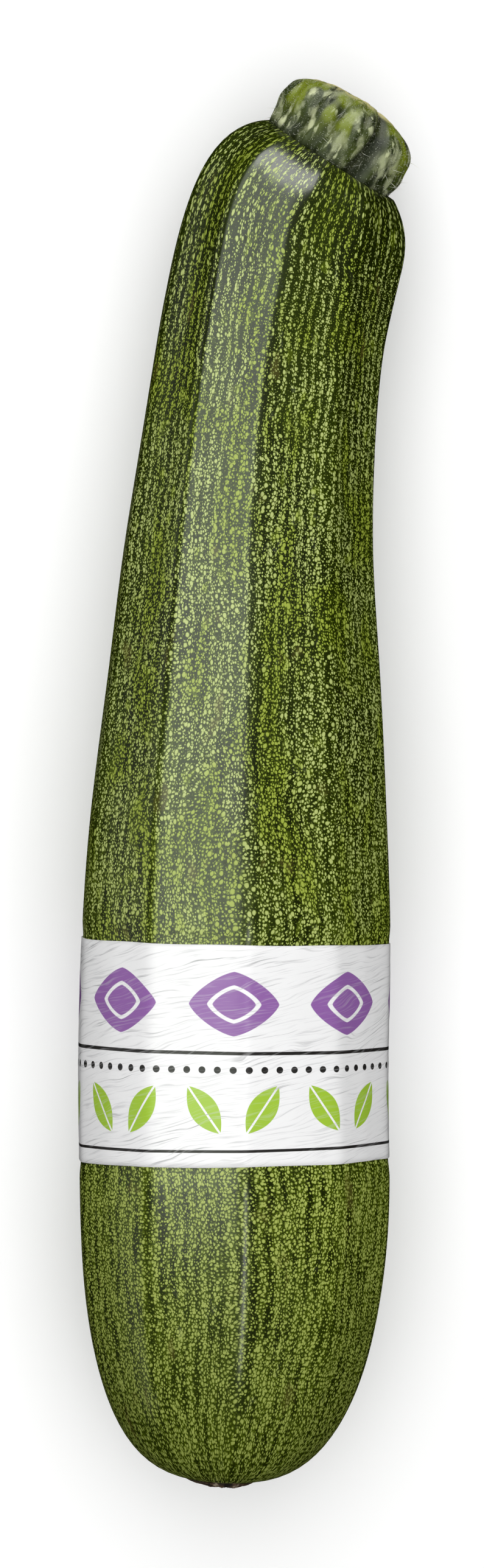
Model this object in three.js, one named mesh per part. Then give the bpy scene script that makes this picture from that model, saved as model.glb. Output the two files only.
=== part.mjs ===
import * as THREE from "three";

// A green courgette lying on its side, in millimetres, +Z up, with its stalk towards +Y.
// Angles round the fruit are counted from straight up, towards +X.

// Fruit, with every length counted along its middle line from the blossom end
const BELLY_RADIUS = 25.65;
const NECK_RADIUS = 18.6;
const TAPER_START = 78;
const TAPER_END = 194;
const BLOSSOM_DOME = { length: 51, fullness: 2.15, bluntness: 3 };
const SHOULDER_DOME = { length: 23.6, overrun: 2.7, fullness: 3.75, bluntness: 2.35 };
const BLOSSOM_TIP = 0.15;
const SHOULDER_SWELL = { height: 1.13, beforeTop: 7.3, spread: 12.1 };
const MIDDLE_LINE = [
  [-3.1, -114.1, 26.3],
  [-1.35, -75.0, 25.8],
  [-1.4, -45.0, 25.4],
  [-0.85, -15.0, 25.3],
  [0.15, 15.0, 23.4],
  [1.15, 40.0, 21.0],
  [3.14, 62.0, 19.2],
  [5.48, 78.0, 18.5],
  [8.72, 91.7, 19.1],
  [14.45, 103.15, 21.0],
];

// Over the shoulder the cross-sections turn from square to the middle line to the way the stalk's foot faces
const SHOULDER_TURN = { from: 187.5, to: 220 };
const FOOT_HEADING = THREE.MathUtils.degToRad(33);
const FOOT_PITCH = THREE.MathUtils.degToRad(9.5);

// Ten soft ribs with nearly flat facets between them
const RIBS = 10;
const FIRST_RIB = THREE.MathUtils.degToRad(3);
const RIDGE_ROUNDING = 0.15;
const RIB_DEPTH_BELLY = 0.026;
const RIB_DEPTH_NECK = 0.042;
const RIB_FADE = 22;

// Band, placed along the same middle line
const BAND_START = 53.0;
const BAND_LENGTH = 35.6;
const BAND_THICKNESS = 0.4;
const BAND_PRESS = 0.7;
const PRESS_EASE = 4;
const CLEARANCE = 0.3;

// Height that the fruit rests at: on the surface along its neck, just above it where the band passes under it
const REST_UNDER_BAND = BAND_THICKNESS + CLEARANCE;
const NECK_REST = { from: 110, to: 165 };

// Stalk, cut 11 mm above the shoulder, its rim rounded in to the cut face, whose two corners fall back
const STALK_LENGTH = 10.8;
const STALK_FOOT_RADIUS = 11.9;
const STALK_CUT_RADIUS = 8.4;
const STALK_BULGE = 0.4;
const STALK_SIDESTEP = -1.2;
const CUT_HEADING = THREE.MathUtils.degToRad(30);
const CUT_PITCH = THREE.MathUtils.degToRad(7);
const CORNER_DROP = { left: 1.0, right: 1.5 };

// Grooves between its lobes, in degrees round the foot and round the cut, with half their width
const GROOVES = [
  { foot: -116, cut: -108, depth: 1.4, width: 11 },
  { foot: -36, cut: -26, depth: 0.7, width: 8 },
  { foot: -15, cut: -2, depth: 0.7, width: 7 },
  { foot: 26, cut: 38, depth: 2.2, width: 9 },
  { foot: 100, cut: 108, depth: 1.4, width: 11 },
  { foot: 170, cut: 178, depth: 1.2, width: 11 },
];

// Dry crust on the blossom end
const SCAR_RADIUS = 5.4;
const SCAR_THICKNESS = 0.75;
const SCAR_CROWN = 0.6;
const SCAR_RAGGEDNESS = { broad: 0.5, fine: 0.3 };
const SCAR_WRINKLE = 0.25;

// Fineness of the surfaces
const AROUND = 60;
const AROUND_STALK = 72;
const AROUND_SCAR = 36;

const { lerp, smoothstep, degToRad, euclideanModulo } = THREE.MathUtils;

const middleLine = new THREE.CatmullRomCurve3(
  MIDDLE_LINE.map(([x, y, z]) => new THREE.Vector3(x, y, z)),
);
middleLine.arcLengthDivisions = 800;
const FRUIT_LENGTH = middleLine.getLength();

function direction(heading, pitch) {
  const level = Math.cos(pitch);
  return new THREE.Vector3(Math.sin(heading) * level, Math.cos(heading) * level, Math.sin(pitch));
}

// Centre and axes of a cross-section that faces along a direction
function frameFacing(centre, along) {
  const right = new THREE.Vector3(along.y, -along.x, 0).normalize();
  return { centre, along, right, up: right.clone().cross(along) };
}

function fruitFrame(distance) {
  const share = THREE.MathUtils.clamp(distance / FRUIT_LENGTH, 0, 1);
  const turned = smoothstep(distance, SHOULDER_TURN.from, SHOULDER_TURN.to);
  const along = middleLine.getTangentAt(share).lerp(direction(FOOT_HEADING, FOOT_PITCH), turned);
  return frameFacing(middleLine.getPointAt(share), along.normalize());
}

function pointAround(frame, angle, radius, ahead = 0) {
  return frame.centre
    .clone()
    .addScaledVector(frame.up, radius * Math.cos(angle))
    .addScaledVector(frame.right, radius * Math.sin(angle))
    .addScaledVector(frame.along, ahead);
}

// Share of the full radius that a rounded end has at this distance from its tip
function domeShare(distance, { length, fullness, bluntness }) {
  const left = THREE.MathUtils.clamp(1 - distance / length, 0, 1);
  return (1 - left ** fullness) ** (1 / bluntness);
}

// 1 along the band, easing to 0 a little way beyond both of its edges
function underBand(distance) {
  const end = BAND_START + BAND_LENGTH;
  return (
    smoothstep(distance, BAND_START - PRESS_EASE, BAND_START) -
    smoothstep(distance, end, end + PRESS_EASE)
  );
}

// Mean radius: a belly that tapers to the neck, closed by the blossom end and the shoulder, and drawn in a
// little where the band is wrapped round it
function fruitRadius(distance) {
  const taper = smoothstep(distance, TAPER_START, TAPER_END);
  const beforeTop = FRUIT_LENGTH + SHOULDER_DOME.overrun - distance;
  return (
    lerp(BELLY_RADIUS, NECK_RADIUS, taper) *
      domeShare(distance, BLOSSOM_DOME) *
      domeShare(beforeTop, SHOULDER_DOME) -
    BAND_PRESS * underBand(distance)
  );
}

// Ribs: 0 on a ridge and 1 in the middle of a facet, as the side of a polygon lies inside its circle
function ribRelief(angle) {
  const turns = ((angle - FIRST_RIB) * RIBS) / (2 * Math.PI);
  const fromRidge = 2 * Math.abs(turns - Math.round(turns));
  const rounded = (x) => Math.hypot(x, RIDGE_ROUNDING) - RIDGE_ROUNDING;
  return 1 - (1 - rounded(fromRidge) / rounded(1)) ** 2;
}

// Swelling of the shoulder on the inside of its bend
function shoulderSwell(distance, angle) {
  const away = (FRUIT_LENGTH - distance - SHOULDER_SWELL.beforeTop) / SHOULDER_SWELL.spread;
  return SHOULDER_SWELL.height * Math.exp(-(away ** 2)) * Math.max(0, Math.sin(angle)) ** 2;
}

function ribbedRadius(distance, angle) {
  const depth =
    lerp(RIB_DEPTH_BELLY, RIB_DEPTH_NECK, smoothstep(distance, TAPER_START, TAPER_END)) *
    smoothstep(distance, 0, RIB_FADE);
  const ribs = 1 + depth * (2 / 3 - ribRelief(angle));
  return fruitRadius(distance) * ribs + shoulderSwell(distance, angle);
}

// Flat spots: nothing goes below the height that this part of the fruit rests at
function fruitFloor(distance) {
  return lerp(REST_UNDER_BAND, 0, smoothstep(distance, NECK_REST.from, NECK_REST.to));
}

function settle(point, floor) {
  point.z = Math.max(point.z, floor);
  return point;
}

// Every ring starts on the first rib, so that a ring of six points to a rib has points on all the ridges
function ring(count, pointAt) {
  return Array.from({ length: count }, (_, i) => pointAt(FIRST_RIB + (i * 2 * Math.PI) / count));
}

// Closed surface through rings of equal count. The end rings are capped by a fan round their middle, or the
// last ring is joined back to the first, which makes a sleeve.
function skin(rings, isSleeve = false) {
  const count = rings[0].length;
  const points = rings.flat();
  const faces = [];
  const joins = isSleeve ? rings.length : rings.length - 1;
  for (let row = 0; row < joins; row++) {
    const here = row * count;
    const next = ((row + 1) % rings.length) * count;
    for (let i = 0; i < count; i++) {
      const j = (i + 1) % count;
      faces.push(here + i, here + j, next + j, here + i, next + j, next + i);
    }
  }
  if (!isSleeve) {
    for (const [row, flip] of [[0, true], [rings.length - 1, false]]) {
      const middle = points.length;
      const centre = new THREE.Vector3();
      rings[row].forEach((p) => centre.addScaledVector(p, 1 / count));
      points.push(centre);
      for (let i = 0; i < count; i++) {
        const a = row * count + i;
        const b = row * count + ((i + 1) % count);
        faces.push(middle, flip ? b : a, flip ? a : b);
      }
    }
  }
  const geometry = new THREE.BufferGeometry().setFromPoints(points);
  geometry.setIndex(faces);
  geometry.computeVertexNormals();
  return geometry;
}

function evenly(from, to, steps) {
  return Array.from({ length: steps + 1 }, (_, i) => lerp(from, to, i / steps));
}

// Rings lie close together at both ends, and evenly under the band and over the neck
const BLOSSOM_RINGS = [0, 0.35, 1, 2.2, 4, 6.5, 9.5, 13, 17, 22, 28, 34, 41];
const SHOULDER_RINGS = [22, 19, 16.5, 14.2, 12.2, 10.4, 8.8, 7.3, 5.9, 4.6, 3.4, 2.2, 1.1, 0];

function makeFruit() {
  const bandEnd = BAND_START + BAND_LENGTH;
  const distances = [
    ...BLOSSOM_RINGS.map((d) => BLOSSOM_TIP + d),
    ...evenly(BAND_START - PRESS_EASE, bandEnd + PRESS_EASE, 9),
    ...evenly(bandEnd + 10, FRUIT_LENGTH - 26, 20),
    ...SHOULDER_RINGS.map((d) => FRUIT_LENGTH - d),
  ];
  return skin(
    distances.map((distance) => {
      const frame = fruitFrame(distance);
      const floor = fruitFloor(distance);
      return ring(AROUND, (angle) =>
        settle(pointAround(frame, angle, ribbedRadius(distance, angle)), floor),
      );
    }),
  );
}

function makeBand() {
  const layer = (distances, proud, floor) =>
    distances.map((distance) => {
      const frame = fruitFrame(distance);
      return ring(AROUND, (angle) =>
        settle(pointAround(frame, angle, ribbedRadius(distance, angle) + proud), floor),
      );
    });
  const distances = evenly(BAND_START, BAND_START + BAND_LENGTH, 5);
  const outside = layer(distances, CLEARANCE + BAND_THICKNESS, 0);
  const inside = layer(distances.toReversed(), CLEARANCE, BAND_THICKNESS);
  return skin([...outside, ...inside], true);
}

// Depth of the grooves at a height up the stalk and an angle round it
function grooveDepth(share, angle) {
  return GROOVES.reduce((sum, { foot, cut, depth, width }) => {
    const away = euclideanModulo(angle - degToRad(lerp(foot, cut, share)) + Math.PI, 2 * Math.PI) - Math.PI;
    return sum + depth * Math.exp(-((away / degToRad(width)) ** 2));
  }, 0);
}

function stalkRadius(share, angle) {
  const smooth =
    lerp(STALK_FOOT_RADIUS, STALK_CUT_RADIUS, share ** 5) + STALK_BULGE * Math.sin(Math.PI * share);
  return smooth - grooveDepth(share, angle);
}

// How far the left and right corners of the cut fall back
function cornerDrop(share, angle) {
  const side = Math.sin(angle);
  return (side < 0 ? CORNER_DROP.left : CORNER_DROP.right) * share ** 4 * Math.abs(side) ** 3;
}

function makeStalk() {
  const foot = fruitFrame(FRUIT_LENGTH);
  const footHeading = Math.atan2(foot.along.x, foot.along.y);
  const footPitch = Math.asin(foot.along.z);
  const shares = [0, 0.15, 0.32, 0.5, 0.65, 0.76, 0.85, 0.93, 1];
  return skin(
    shares.map((share) => {
      const along = direction(lerp(footHeading, CUT_HEADING, share), lerp(footPitch, CUT_PITCH, share));
      const centre = foot.centre
        .clone()
        .addScaledVector(foot.along, CLEARANCE + share * (STALK_LENGTH - CLEARANCE))
        .addScaledVector(foot.right, STALK_SIDESTEP * share ** 2);
      const frame = frameFacing(centre, along);
      return ring(AROUND_STALK, (angle) =>
        pointAround(frame, angle, stalkRadius(share, angle), -cornerDrop(share, angle)),
      );
    }),
  );
}

function makeBlossomScar() {
  const frame = fruitFrame(0);
  const edge = (angle) =>
    SCAR_RADIUS +
    SCAR_RAGGEDNESS.broad * Math.sin(3 * angle + 0.6) +
    SCAR_RAGGEDNESS.fine * Math.sin(7 * angle);
  const face = (angle, share) =>
    -CLEARANCE -
    SCAR_THICKNESS * (1 - SCAR_CROWN * share ** 2) -
    SCAR_WRINKLE * share * Math.sin(9 * angle + 1);
  const layer = (share, ahead) =>
    ring(AROUND_SCAR, (angle) => pointAround(frame, angle, edge(angle) * share, ahead(angle, share)));
  const back = () => -CLEARANCE;
  return skin([
    ...[0.3, 0.65, 0.92].map((share) => layer(share, face)),
    layer(1, (angle) => (face(angle, 1) - CLEARANCE) / 2),
    ...[0.92, 0.5].map((share) => layer(share, back)),
  ]);
}

function piece(name, geometry, color, roughness) {
  const mesh = new THREE.Mesh(
    geometry,
    new THREE.MeshStandardMaterial({ color, roughness, metalness: 0 }),
  );
  mesh.name = name;
  return mesh;
}

const courgette = new THREE.Group();
courgette.add(
  piece("fruit", makeFruit(), 0x2f4a1a, 0.4),
  piece("stalk", makeStalk(), 0x5a7a34, 0.6),
  piece("blossom_scar", makeBlossomScar(), 0x5c4a33, 0.9),
  piece("band", makeBand(), 0xe9e7e2, 0.45),
);

// The part's origin is under the middle of its bounding box
const middle = new THREE.Box3().setFromObject(courgette).getCenter(new THREE.Vector3());
courgette.position.set(-middle.x, -middle.y, 0);

export default courgette;
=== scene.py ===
"""A green courgette in a film band, lying on its side on a pale floor and seen from straight above.

Lengths are millimetres until a mesh, a light or the camera is made, which turns them into metres. Angles round the
fruit are counted from straight up, towards +X, and distances along it from the blossom end.
"""

import logging
import math
from collections.abc import Callable, Mapping
from dataclasses import dataclass, field
from enum import Enum
from typing import TypeAlias

import bpy
import numpy as np
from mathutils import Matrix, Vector
from numpy.typing import NDArray

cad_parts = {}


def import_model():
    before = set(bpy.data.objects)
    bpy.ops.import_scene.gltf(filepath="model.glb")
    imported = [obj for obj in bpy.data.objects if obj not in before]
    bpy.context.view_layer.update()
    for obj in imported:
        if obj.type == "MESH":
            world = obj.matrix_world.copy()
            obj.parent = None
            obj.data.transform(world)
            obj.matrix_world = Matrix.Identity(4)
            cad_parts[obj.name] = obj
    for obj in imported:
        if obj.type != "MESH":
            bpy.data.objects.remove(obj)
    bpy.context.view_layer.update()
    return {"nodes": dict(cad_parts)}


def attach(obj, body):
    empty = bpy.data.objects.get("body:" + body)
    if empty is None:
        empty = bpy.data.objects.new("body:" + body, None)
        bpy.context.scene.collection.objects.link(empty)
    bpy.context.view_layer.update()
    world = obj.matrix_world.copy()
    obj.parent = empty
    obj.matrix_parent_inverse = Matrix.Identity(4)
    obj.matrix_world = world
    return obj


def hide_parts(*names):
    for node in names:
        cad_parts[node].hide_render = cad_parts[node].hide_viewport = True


Array = NDArray[np.float64]
Colour = tuple[float, float, float]
Span = tuple[float, float]
Value: TypeAlias = "Wire | float | tuple[float, ...]"

MM = 0.001
log = logging.getLogger("courgette")


class Slot(Enum):
    """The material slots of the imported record."""

    SKIN = "skin"
    STALK = "stalk"
    CRUST = "dry_crust"
    FILM = "film"


# Small helpers


def smoothstep(value: Array, low: float, high: float) -> Array:
    """Ease from 0 at low to 1 at high: 3t² − 2t³, with t the clamped share of the way."""
    t = np.clip((np.asarray(value, float) - low) / (high - low), 0.0, 1.0)
    return t * t * (3.0 - 2.0 * t)


def linear(red: int, green: int, blue: int) -> Colour:
    """Turn a screen colour into the linear values that shaders use.

    Args:
        red: 0 to 255.
        green: 0 to 255.
        blue: 0 to 255.

    Returns:
        The three linear values, 0 to 1.
    """

    def channel(level: int) -> float:
        """Undo the screen's curve for one channel."""
        share = level / 255
        return share / 12.92 if share <= 0.04045 else ((share + 0.055) / 1.055) ** 2.4

    return channel(red), channel(green), channel(blue)


def facing(heading: Array | float, pitch: Array | float) -> Array:
    """The direction with this heading, from +Y towards +X, and this pitch above the level, as a last axis of 3."""
    level = np.cos(pitch)
    return np.stack([np.sin(heading) * level, np.cos(heading) * level, np.sin(pitch)], axis=-1)


def unit(vectors: Array) -> Array:
    """The vectors, divided by their lengths."""
    return vectors / np.linalg.norm(vectors, axis=-1, keepdims=True)


def full_turn(columns: int, start: float = 0.0) -> Array:
    """This many angles, once round from the start."""
    return start + np.arange(columns) * 2 * np.pi / columns


def put_in_scene(name: str, data: bpy.types.ID) -> bpy.types.Object:
    """Make an object of some data, at the origin.

    Args:
        name: The object's name.
        data: A mesh, a light or a camera.

    Returns:
        The object.
    """
    made = bpy.data.objects.new(name, data)
    bpy.context.collection.objects.link(made)
    return made


# Meshes from grids


@dataclass
class Grid:
    """A surface as rows of points, each row a closed ring, with values that its material reads.

    Attributes:
        points: Millimetres, shaped rows, columns, 3. A first or last row of one repeated point closes to a pole.
        values: Named arrays stored on the points, shaped rows, columns or rows, columns, 3, or stretched to that.
        sleeve: Whether the last row joins back to the first.
    """

    points: Array
    values: dict[str, Array] = field(default_factory=dict)
    sleeve: bool = False

    def corners(self) -> tuple[Array, Array]:
        """Number the corners of every face, and say which of them are kept.

        Returns:
            The corner indices, shaped faces, 4, and a mask of the same shape. A face at a pole loses the corner
            that would repeat the pole.
        """
        rows, columns = self.points.shape[:2]
        index = np.arange(rows * columns).reshape(rows, columns)
        if not self.sleeve:
            index[0], index[-1] = index[0, 0], index[-1, 0]
        here = index if self.sleeve else index[:-1]
        ahead = np.roll(index, -1, axis=0) if self.sleeve else index[1:]
        faces = np.stack([here, np.roll(here, -1, 1), np.roll(ahead, -1, 1), ahead], axis=-1)
        kept = np.ones(faces.shape, bool)
        if not self.sleeve:
            kept[0, :, 1] = kept[-1, :, 3] = False
        return faces.reshape(-1, 4), kept.reshape(-1, 4)

    def unwrapped(self) -> Array:
        """Lay the grid out flat over the whole unit square: u round the ring, v by length from row to row.

        A hair's breadth is added to each row's length, so that none is empty.

        Returns:
            The places of the face corners, shaped faces, 4, 2. A pole's corner sits above the middle of its face.
        """
        rows, columns = self.points.shape[:2]
        looped = np.concatenate([self.points, self.points[:1]]) if self.sleeve else self.points
        steps = np.linalg.norm(np.diff(looped, axis=0), axis=2).mean(axis=1) + 1e-6
        v = np.concatenate([[0.0], np.cumsum(steps)]) / steps.sum()
        strips = len(v) - 1
        uv = np.empty((strips, columns, 4, 2))
        u = np.arange(columns) / columns
        uv[..., 0] = u[None, :, None] + np.array([0, 1, 1, 0]) / columns
        uv[..., :2, 1] = v[:-1, None, None]
        uv[..., 2:, 1] = v[1:, None, None]
        if not self.sleeve:
            uv[0, :, 0, 0] = uv[-1, :, 2, 0] = u + 0.5 / columns
        return uv.reshape(-1, 4, 2)

    def to_object(self, name: str) -> bpy.types.Object:
        """Make the mesh object, smooth, with its values and a map for the bake.

        Args:
            name: The object's name.

        Returns:
            The object, at the origin and in metres.
        """
        faces, kept = self.corners()
        used, compact = np.unique(faces[kept], return_inverse=True)
        mesh = bpy.data.meshes.new(name)
        mesh.vertices.add(len(used))
        mesh.vertices.foreach_set("co", (self.points.reshape(-1, 3)[used] * MM).ravel())
        mesh.loops.add(len(compact))
        mesh.loops.foreach_set("vertex_index", compact.astype(np.int32).ravel())
        mesh.polygons.add(len(faces))
        starts = np.concatenate([[0], np.cumsum(kept.sum(axis=1))[:-1]])
        mesh.polygons.foreach_set("loop_start", starts.astype(np.int32))
        mesh.uv_layers.new(name="OFBake").uv.foreach_set("vector", self.unwrapped()[kept].ravel())
        for label, value in self.values.items():
            kind, key = ("FLOAT_VECTOR", "vector") if value.ndim == 3 else ("FLOAT", "value")
            flat = np.broadcast_to(value, self.points.shape[: value.ndim]).reshape(-1, *value.shape[2:])[used]
            mesh.attributes.new(label, kind, "POINT").data.foreach_set(key, flat.ravel())
        mesh.update(calc_edges=True)
        mesh.validate()
        mesh.shade_smooth()
        return put_in_scene(name, mesh)


def settle_piece(piece: bpy.types.Object, finish: bpy.types.Material, slot: Slot, *nodes: str) -> None:
    """Give a piece its material and its place in the model.

    Args:
        piece: The finished piece.
        finish: Its material.
        slot: Not used.
        *nodes: The CAD nodes that it stands for.
    """
    piece.data.materials.append(finish)
    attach(piece, "root")
    if nodes:
        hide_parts(*nodes)
    log.info("%s: %d faces", piece.name, len(piece.data.polygons))


# Shader maths


def node_operator(operation: str, reflected: bool = False) -> "Callable[[Wire, Value], Wire]":
    """Make a method of Wire that adds the Math node of an operation.

    Args:
        operation: The node's operation.
        reflected: Whether the wire is the second value and not the first.

    Returns:
        The method. Its other value is left out where the operation takes only one.
    """

    def add_node(wire: "Wire", other: Value = 0.0) -> "Wire":
        """Add it, or Vector Math for a vector, where a number stands for three equal parts.

        Args:
            wire: The wire that the method is called on.
            other: The other value.

        Returns:
            The result.
        """
        values = (other, wire) if reflected else (wire, other)
        if wire.socket.type not in {"VECTOR", "RGBA"}:
            return wire.book.node("Math", {"operation": operation}, dict(enumerate(values)))
        spread = [(part,) * 3 if isinstance(part, (int, float)) else part for part in values]
        return wire.book.node("VectorMath", {"operation": operation}, dict(enumerate(spread)))

    return add_node


class Wire:
    """A socket in a material: a value, a place or a colour, with the operators and functions that add nodes to it."""

    __add__ = __radd__ = node_operator("ADD")
    __sub__ = node_operator("SUBTRACT")
    __rsub__ = node_operator("SUBTRACT", reflected=True)
    __mul__ = __rmul__ = node_operator("MULTIPLY")
    __truediv__ = node_operator("DIVIDE")
    __pow__ = node_operator("POWER")
    __abs__ = node_operator("ABSOLUTE")
    at_least = node_operator("MAXIMUM")
    wave = node_operator("SINE")
    fraction = node_operator("FRACT")

    def __init__(self, book: "NodeBook", socket: bpy.types.NodeSocket) -> None:
        """Wrap a node's output socket."""
        self.book, self.socket = book, socket

    def of(self, output: str) -> "Wire":
        """Another output of the same node."""
        return Wire(self.book, self.socket.node.outputs[output])

    def channel(self, name: str) -> "Wire":
        """Red, Green or Blue of the node's Color output, each random for a cell."""
        return self.book.node("SeparateColor", {}, {"Color": self.of("Color")}, name)

    def repeated(self, period: float) -> "Wire":
        """Self within a repeat of this length, from minus half of it to half of it."""
        return (self / period + 0.5).fraction() * period - period / 2

    def eased(self, low: float, high: float) -> "Wire":
        """Ease from 0 at low to 1 at high, or the other way round where high is the smaller."""
        settings = {"interpolation_type": "SMOOTHSTEP", "clamp": True}
        return self.book.node("MapRange", settings, {"Value": self, "From Min": low, "From Max": high})

    def x(self) -> "Wire":
        """The first part of a vector."""
        return self.book.node("SeparateXYZ", {}, {0: self}, "X")

    def by(self, up: "Wire") -> "Wire":
        """A place on a flat pattern: self across, and so far up."""
        return self.book.node("CombineXYZ", {}, {0: self, 1: up})

    def scaled(self, size: tuple[float, ...]) -> "Wire":
        """A place, counted in patches of this size along two or three axes."""
        return self * (tuple(1 / part for part in size) + (1.0,) * (3 - len(size)))

    def noise(self, size: tuple[float, ...], detail: float = 2.0, roughness: float = 0.5) -> "Wire":
        """Soft noise about 0.5 in patches of this size. Its Color output holds three independent values."""
        inputs = {"Vector": self.scaled(size), "Scale": 1.0, "Detail": detail, "Roughness": roughness}
        return self.book.node("TexNoise", {"noise_dimensions": f"{len(size)}D"}, inputs)

    def jolt(self, size: tuple[float, ...]) -> "Wire":
        """A sideways shift for each place, soft noise from −0.5 to 0.5 along every axis."""
        return self.noise(size).of("Color") - 0.5

    def cells(self, size: tuple[float, ...], edges: bool = False, jitter: float = 1.0) -> "Wire":
        """Voronoi cells.

        Args:
            size: The size of a cell along two or three axes.
            edges: Whether to measure the distance to the cell's edge and not to its middle.
            jitter: How far the cells stray from a square grid.

        Returns:
            The distance in cell sizes; without edges, its Color output is random for each cell.
        """
        settings = {"feature": "DISTANCE_TO_EDGE" if edges else "F1", "voronoi_dimensions": f"{len(size)}D"}
        inputs = {"Vector": self.scaled(size), "Scale": 1.0, "Randomness": jitter}
        return self.book.node("TexVoronoi", settings, inputs, "Distance")

    def mix(self, first: Value, second: Value) -> "Wire":
        """A colour: the first where self is 0, the second where it is 1."""
        return self.book.node("Mix", {"data_type": "RGBA"}, {0: self, 6: first, 7: second}, 2)

    def bump(self, depth: float, below: "Wire | None" = None) -> "Wire":
        """The normal of a relief this many millimetres deep where self is 1, over another where there is one."""
        inputs = {"Height": self, "Distance": depth * MM, "Strength": 1.0}
        return self.book.node("Bump", {}, inputs | ({"Normal": below} if below else {}))


class NodeBook:
    """The nodes of one new material, with a Principled shader."""

    def __init__(self, name: str, **constants: float) -> None:
        """Start a material.

        Args:
            name: The material's name.
            **constants: Shader sockets that are the same all over, with _ for a space.
        """
        self.material = bpy.data.materials.new(name)
        self.material.use_nodes = True
        self.nodes = self.material.node_tree.nodes
        self.links = self.material.node_tree.links
        self.shader = self.nodes["Principled BSDF"]
        for label, value in constants.items():
            self.shader.inputs[label.replace("_", " ")].default_value = value

    def node(
        self,
        kind: str,
        settings: Mapping[str, object] | None = None,
        inputs: Mapping[str | int, Value] | None = None,
        output: str | int = 0,
    ) -> Wire:
        """Add any node.

        Args:
            kind: The shader node's type without its prefix.
            settings: Its properties, set first.
            inputs: Values or links of its sockets, by name or number.
            output: The socket that is given back.

        Returns:
            That socket.
        """
        made = self.nodes.new("ShaderNode" + kind)
        for label, value in (settings or {}).items():
            setattr(made, label, value)
        for label, value in (inputs or {}).items():
            self.feed(made.inputs[label], value)
        return Wire(self, made.outputs[output])

    def feed(self, socket: bpy.types.NodeSocket, value: Value) -> None:
        """Link or set a socket.

        Args:
            socket: The input.
            value: A wire to link, or the number or tuple to set.
        """
        if isinstance(value, Wire):
            self.links.new(value.socket, socket)
        elif socket.type == "RGBA":
            socket.default_value = (*value[:3], 1.0)
        else:
            socket.default_value = value

    def attribute(self, name: str, is_vector: bool = False) -> Wire:
        """A value stored on the piece's points."""
        return self.node("Attribute", {"attribute_name": name}, output="Vector" if is_vector else "Fac")

    def place(self) -> Wire:
        """The point's own place, in millimetres."""
        return self.node("TexCoord", output="Object") * (1 / MM)

    def around(self, girth: float) -> Wire:
        """Millimetres round the piece, from its map, whose seam is underneath: 0 on top."""
        return (self.node("UVMap", {"uv_map": "OFBake"}).x() - 0.5) * girth

    def finished(self, **surfaces: Wire) -> bpy.types.Material:
        """Link what varies over the surface.

        Args:
            **surfaces: The wires for the shader's sockets, with _ for a space.

        Returns:
            The material.
        """
        for label, wire in surfaces.items():
            self.feed(self.shader.inputs[label.replace("_", " ")], wire)
        return self.material


# Shape of the fruit


@dataclass
class Sections:
    """Cross-sections along a path: their middles and axes, each shaped sections, 3."""

    centre: Array
    along: Array
    right: Array = field(init=False)
    up: Array = field(init=False)

    def __post_init__(self) -> None:
        """Set the axes: right is level, and up is square to it and to the path."""
        self.right = unit(np.stack([self.along[:, 1], -self.along[:, 0], np.zeros(len(self.along))], axis=1))
        self.up = np.cross(self.right, self.along)

    def around(self, angle: Array, radius: Array, ahead: Array | float = 0.0) -> Array:
        """Points round every section.

        Args:
            angle: Angles from up towards right, shaped columns, or sections, columns.
            radius: How far out, shaped sections, columns.
            ahead: How far along the path from the section.

        Returns:
            centre + radius·(cos angle·up + sin angle·right) + ahead·along, shaped sections, columns, 3.
        """
        out = (radius * np.cos(angle))[..., None] * self.up[:, None]
        out = out + (radius * np.sin(angle))[..., None] * self.right[:, None]
        forward = np.broadcast_to(np.asarray(ahead, float), radius.shape)[..., None] * self.along[:, None]
        return self.centre[:, None] + out + forward


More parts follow.
